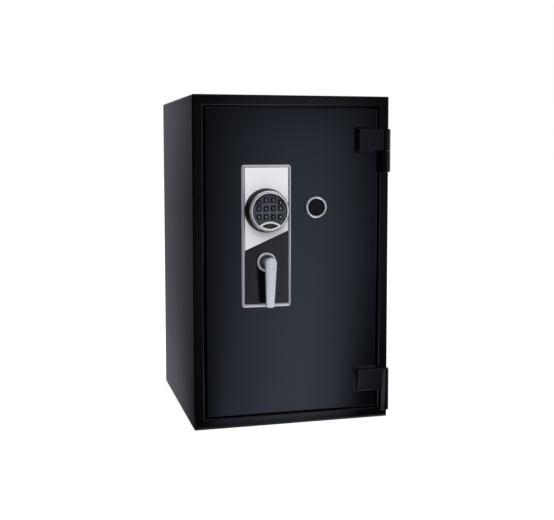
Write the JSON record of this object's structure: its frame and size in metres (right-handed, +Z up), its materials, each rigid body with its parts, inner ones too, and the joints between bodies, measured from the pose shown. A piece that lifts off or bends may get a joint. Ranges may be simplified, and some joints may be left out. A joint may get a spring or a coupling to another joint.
{
  "type": "fireproof safe",
  "caption": "Free-standing fire-resistant safe: hinged door with keypad, key lock and drop lever, rack-driven locking bolts, lined cabinet with shelves.",
  "frame": {"origin": "centre of the cabinet's footprint on the floor", "axes": "+Z up, -Y out of the door's front, +X to the hinge side"},
  "size_m": [0.465, 0.5276, 0.76],
  "materials": {
    "casing_paint": "satin black powder coat",
    "door_paint": "satin blue-black powder coat",
    "inner_paint": "matt dark grey powder coat",
    "fire_concrete": "cast fire-resistant fill",
    "fire_seal": "intumescent strip",
    "zinc_steel": "zinc plated",
    "bright_steel": "turned bright steel",
    "silver_plate": "fine brushed",
    "black_plate": "satin black",
    "keypad_plastic": "fine moulded texture",
    "lens_plastic": "glossy smoked lens",
    "key_rubber": "matt silicone rubber",
    "circuit_board": "solder mask",
    "battery_can": "printed can, bare of print",
    "chrome_trim": "bright chrome",
    "satin_chrome": "satin chrome",
    "brass": "turned brass",
    "die_cast": "as cast zinc alloy"
  },
  "bodies": {
    "cabinet": {"outer_casing": "casing_paint", "back_panel": "casing_paint", "door_jamb": "casing_paint", "fire_fill": "fire_concrete", "inner_liner": "inner_paint", "anchor_sleeves": "zinc_steel", "fire_seal": "fire_seal", "bolt_pockets": "zinc_steel", "cabinet_hinge_upper": "casing_paint", "cabinet_hinge_lower": "casing_paint", "hinge_pins": "bright_steel", "shelf_upper": "inner_paint", "shelf_lower": "inner_paint", "shelf_strips": "zinc_steel", "shelf_clips": "zinc_steel"},
    "door": {"door_plate": "door_paint", "door_fill": "fire_concrete", "door_pan": "inner_paint", "door_cover": "inner_paint", "cover_screws": "zinc_steel", "door_hinge_upper": "casing_paint", "door_hinge_lower": "casing_paint", "hinge_dogs": "bright_steel", "nameplate_frame": "silver_plate", "nameplate_silver_face": "silver_plate", "nameplate_black_face": "black_plate", "keypad_housing": "keypad_plastic", "keypad_bezel": "chrome_trim", "keypad_face": "keypad_plastic", "keypad_lens": "lens_plastic", "keypad_board": "circuit_board", "keypad_battery": "battery_can", "key_lock_ring": "chrome_trim", "key_tube": "brass", "handle_rosette": "chrome_trim", "spindle_bush": "brass", "guide_bushes": "brass", "guide_studs": "zinc_steel", "electronic_lock_case": "die_cast", "key_lock_case": "die_cast"},
    "handle": {"lever_handle": "satin_chrome", "handle_spindle": "bright_steel", "drive_pinion": "bright_steel"},
    "boltwork": {"bolt_carriage": "zinc_steel", "locking_bolts": "bright_steel"},
    "electronic_lock_bolt": {"electronic_lock_bolt": "brass"},
    "key_lock_bolt": {"key_lock_bolt": "brass"},
    "keyhole_cap": {"keyhole_cap": "keypad_plastic"},
    "key_1": {"key_1": "key_rubber"},
    "key_2": {"key_2": "key_rubber"},
    "key_3": {"key_3": "key_rubber"},
    "key_4": {"key_4": "key_rubber"},
    "key_5": {"key_5": "key_rubber"},
    "key_6": {"key_6": "key_rubber"},
    "key_7": {"key_7": "key_rubber"},
    "key_8": {"key_8": "key_rubber"},
    "key_9": {"key_9": "key_rubber"},
    "key_0": {"key_0": "key_rubber"},
    "key_clear": {"key_clear": "key_rubber"},
    "key_enter": {"key_enter": "key_rubber"}
  },
  "joints": [
    {"name": "door_swing", "type": "hinge", "parent": "cabinet", "child": "door", "pos_m": [0.221, -0.2485, 0], "axis": [0, 0, 1], "range_deg": [0, 180]},
    {"name": "handle_turn", "type": "hinge", "parent": "door", "child": "handle", "pos_m": [-0.064, -0.2392, 0.381], "axis": [0, -1, 0], "range_deg": [0, 90]},
    {"name": "boltwork_slide", "type": "slide", "parent": "door", "child": "boltwork", "axis": [-1, 0, 0], "range_m": [0, 0.02514]},
    {"name": "electronic_lock_slide", "type": "slide", "parent": "door", "child": "electronic_lock_bolt", "axis": [0, 0, 1], "range_m": [0, 0.012]},
    {"name": "key_lock_slide", "type": "slide", "parent": "door", "child": "key_lock_bolt", "axis": [0, 0, 1], "range_m": [0, 0.012]},
    {"name": "keyhole_cap_pull", "type": "slide", "parent": "door", "child": "keyhole_cap", "axis": [0, -1, 0], "range_m": [0, 0.012]},
    {"name": "key_1_press", "type": "slide", "parent": "door", "child": "key_1", "axis": [0, 1, 0], "range_m": [0, 0.001], "stiffness_N_per_m": 600},
    {"name": "key_2_press", "type": "slide", "parent": "door", "child": "key_2", "axis": [0, 1, 0], "range_m": [0, 0.001], "stiffness_N_per_m": 600},
    {"name": "key_3_press", "type": "slide", "parent": "door", "child": "key_3", "axis": [0, 1, 0], "range_m": [0, 0.001], "stiffness_N_per_m": 600},
    {"name": "key_4_press", "type": "slide", "parent": "door", "child": "key_4", "axis": [0, 1, 0], "range_m": [0, 0.001], "stiffness_N_per_m": 600},
    {"name": "key_5_press", "type": "slide", "parent": "door", "child": "key_5", "axis": [0, 1, 0], "range_m": [0, 0.001], "stiffness_N_per_m": 600},
    {"name": "key_6_press", "type": "slide", "parent": "door", "child": "key_6", "axis": [0, 1, 0], "range_m": [0, 0.001], "stiffness_N_per_m": 600},
    {"name": "key_7_press", "type": "slide", "parent": "door", "child": "key_7", "axis": [0, 1, 0], "range_m": [0, 0.001], "stiffness_N_per_m": 600},
    {"name": "key_8_press", "type": "slide", "parent": "door", "child": "key_8", "axis": [0, 1, 0], "range_m": [0, 0.001], "stiffness_N_per_m": 600},
    {"name": "key_9_press", "type": "slide", "parent": "door", "child": "key_9", "axis": [0, 1, 0], "range_m": [0, 0.001], "stiffness_N_per_m": 600},
    {"name": "key_0_press", "type": "slide", "parent": "door", "child": "key_0", "axis": [0, 1, 0], "range_m": [0, 0.001], "stiffness_N_per_m": 600},
    {"name": "key_clear_press", "type": "slide", "parent": "door", "child": "key_clear", "axis": [0, 1, 0], "range_m": [0, 0.001], "stiffness_N_per_m": 600},
    {"name": "key_enter_press", "type": "slide", "parent": "door", "child": "key_enter", "axis": [0, 1, 0], "range_m": [0, 0.001], "stiffness_N_per_m": 600}
  ],
  "couplings": [
    {"joint": "boltwork_slide", "follows": "handle_turn", "m_per_rad": 0.016}
  ]
}
